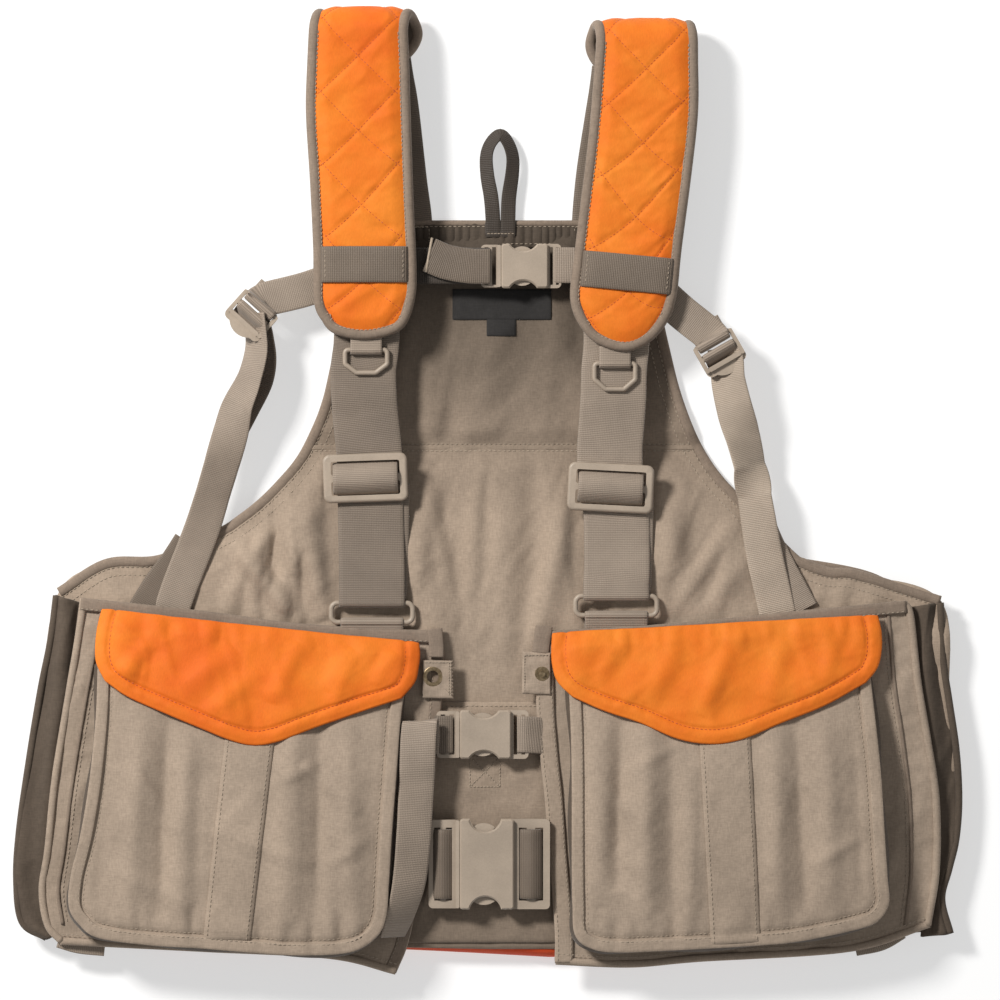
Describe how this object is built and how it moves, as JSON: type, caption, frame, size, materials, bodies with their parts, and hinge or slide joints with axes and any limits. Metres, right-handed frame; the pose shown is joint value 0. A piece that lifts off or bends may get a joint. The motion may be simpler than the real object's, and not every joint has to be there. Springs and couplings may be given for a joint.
{
  "type": "hunting vest",
  "caption": "Canvas strap vest for upland hunting with padded orange shoulder straps, flapped front pockets, adjustable webbing and release buckles.",
  "frame": {"origin": "centre of the bounding box in X and Y, on the surface the vest lies on", "axes": "+Z out of the front, +Y towards the shoulders, +X to the right of someone looking at the front"},
  "size_m": [0.662, 0.68, 0.051],
  "materials": {
    "canvas": "woven cotton canvas, matte",
    "orange_cloth": "blaze orange polyester cloth, soft sheen",
    "webbing": "ribbed polypropylene webbing, matte",
    "buckle_plastic": "moulded acetal, satin",
    "brass": "antique brass, worn",
    "label": "black woven tape, blank"
  },
  "bodies": {
    "vest": {"back_panel": "canvas", "chest_buckle_socket": "buckle_plastic", "chest_webbing_right": "webbing", "d_ring_tab_left": "webbing", "d_ring_tab_right": "webbing", "front_panel_left": "canvas", "front_panel_right": "canvas", "front_webbing_left": "webbing", "front_webbing_right": "webbing", "game_bag_gusset": "orange_cloth", "game_bag_rear": "orange_cloth", "neck_label": "label", "pad_band_left": "webbing", "pad_band_right": "webbing", "pocket_left": "canvas", "pocket_right": "canvas", "rear_webbing_left": "webbing", "rear_webbing_right": "webbing", "rectangular_ring_left": "buckle_plastic", "rectangular_ring_right": "buckle_plastic", "shoulder_pad_left": "orange_cloth", "shoulder_pad_right": "orange_cloth", "side_panel_left": "canvas", "side_panel_right": "canvas", "side_strap_lower_left": "webbing", "side_strap_lower_right": "webbing", "side_strap_upper_left": "webbing", "side_strap_upper_right": "webbing", "upper_buckle_socket": "buckle_plastic", "upper_webbing_end": "webbing", "upper_webbing_right": "webbing", "waist_buckle_socket": "buckle_plastic", "waist_lining": "canvas", "waist_webbing_right": "webbing", "yoke_panel": "canvas"},
    "left_flap": {"flap_left": "orange_cloth"},
    "right_flap": {"flap_right": "orange_cloth"},
    "chest_plug": {"chest_buckle_plug": "buckle_plastic", "chest_webbing_left": "webbing"},
    "chest_upper_arm": {"chest_buckle_arm_upper": "buckle_plastic"},
    "chest_lower_arm": {"chest_buckle_arm_lower": "buckle_plastic"},
    "belt_plug": {"upper_buckle_plug": "buckle_plastic"},
    "belt_upper_arm": {"upper_buckle_arm_upper": "buckle_plastic"},
    "belt_lower_arm": {"upper_buckle_arm_lower": "buckle_plastic"},
    "waist_plug": {"waist_buckle_plug": "buckle_plastic", "waist_webbing_left": "webbing"},
    "waist_upper_arm": {"waist_buckle_arm_upper": "buckle_plastic"},
    "waist_lower_arm": {"waist_buckle_arm_lower": "buckle_plastic"},
    "left_closure_tab": {"closure_tab_left": "webbing", "brass_eyelet": "brass"},
    "right_closure_tab": {"closure_tab_right": "webbing", "brass_snap": "brass"},
    "left_slider": {"slider_left": "buckle_plastic"},
    "right_slider": {"slider_right": "buckle_plastic"},
    "left_d_ring": {"d_ring_left": "buckle_plastic"},
    "right_d_ring": {"d_ring_right": "buckle_plastic"},
    "left_ladder_lock": {"ladder_lock_left": "buckle_plastic"},
    "right_ladder_lock": {"ladder_lock_right": "buckle_plastic"},
    "loop": {"hang_loop": "webbing"}
  },
  "joints": [
    {"name": "left_flap_lift", "type": "hinge", "parent": "vest", "child": "left_flap", "pos_m": [-0.15875, -0.097, 0.028], "axis": [-0.9944, 0.1054, 0], "range_deg": [0, 110]},
    {"name": "right_flap_lift", "type": "hinge", "parent": "vest", "child": "right_flap", "pos_m": [0.15925, -0.0965, 0.028], "axis": [-0.9985, -0.055, 0], "range_deg": [0, 110]},
    {"name": "chest_buckle_release", "type": "slide", "parent": "vest", "child": "chest_plug", "axis": [-1, 0, 0], "range_m": [0, 0.022]},
    {"name": "chest_upper_arm_squeeze", "type": "slide", "parent": "chest_plug", "child": "chest_upper_arm", "axis": [0, -1, 0], "range_m": [0, 0.0022], "stiffness_N_per_m": 800},
    {"name": "chest_lower_arm_squeeze", "type": "slide", "parent": "chest_plug", "child": "chest_lower_arm", "axis": [0, 1, 0], "range_m": [0, 0.0022], "stiffness_N_per_m": 800},
    {"name": "belt_buckle_release", "type": "slide", "parent": "vest", "child": "belt_plug", "axis": [-1, 0, 0], "range_m": [0, 0.022]},
    {"name": "belt_upper_arm_squeeze", "type": "slide", "parent": "belt_plug", "child": "belt_upper_arm", "axis": [0, -1, 0], "range_m": [0, 0.0022], "stiffness_N_per_m": 800},
    {"name": "belt_lower_arm_squeeze", "type": "slide", "parent": "belt_plug", "child": "belt_lower_arm", "axis": [0, 1, 0], "range_m": [0, 0.0022], "stiffness_N_per_m": 800},
    {"name": "waist_buckle_release", "type": "slide", "parent": "vest", "child": "waist_plug", "axis": [-1, 0, 0], "range_m": [0, 0.024]},
    {"name": "waist_upper_arm_squeeze", "type": "slide", "parent": "waist_plug", "child": "waist_upper_arm", "axis": [0, -1, 0], "range_m": [0, 0.0022], "stiffness_N_per_m": 1000},
    {"name": "waist_lower_arm_squeeze", "type": "slide", "parent": "waist_plug", "child": "waist_lower_arm", "axis": [0, 1, 0], "range_m": [0, 0.0022], "stiffness_N_per_m": 1000},
    {"name": "left_closure_tab_lift", "type": "hinge", "parent": "vest", "child": "left_closure_tab", "pos_m": [-0.0345, -0.119, 0.0257], "axis": [-1, 0, 0], "range_deg": [0, 60]},
    {"name": "right_closure_tab_lift", "type": "hinge", "parent": "vest", "child": "right_closure_tab", "pos_m": [0.03475, -0.114, 0.0257], "axis": [-1, 0, 0], "range_deg": [0, 60]},
    {"name": "left_slider_adjust", "type": "slide", "parent": "vest", "child": "left_slider", "axis": [0, 1, 0], "range_m": [-0.025, 0.025]},
    {"name": "right_slider_adjust", "type": "slide", "parent": "vest", "child": "right_slider", "axis": [0, 1, 0], "range_m": [-0.025, 0.025]},
    {"name": "left_d_ring_swing", "type": "hinge", "parent": "vest", "child": "left_d_ring", "pos_m": [-0.0845, 0.098, 0.0282], "axis": [-1, 0, 0], "range_deg": [0, 100]},
    {"name": "right_d_ring_swing", "type": "hinge", "parent": "vest", "child": "right_d_ring", "pos_m": [0.0895, 0.0885, 0.0282], "axis": [-1, 0, 0], "range_deg": [0, 100]},
    {"name": "left_ladder_lock_tilt", "type": "hinge", "parent": "vest", "child": "left_ladder_lock", "pos_m": [-0.15664, 0.13129, 0.0243], "axis": [-0.7431, 0.6691, 0], "range_deg": [0, 25]},
    {"name": "right_ladder_lock_tilt", "type": "hinge", "parent": "vest", "child": "right_ladder_lock", "pos_m": [0.15675, 0.10683, 0.0243], "axis": [-0.866, -0.5, 0], "range_deg": [0, 25]},
    {"name": "hang_loop_lift", "type": "hinge", "parent": "vest", "child": "loop", "pos_m": [0.009, 0.178, 0.004], "axis": [1, 0, 0], "range_deg": [0, 80]}
  ]
}
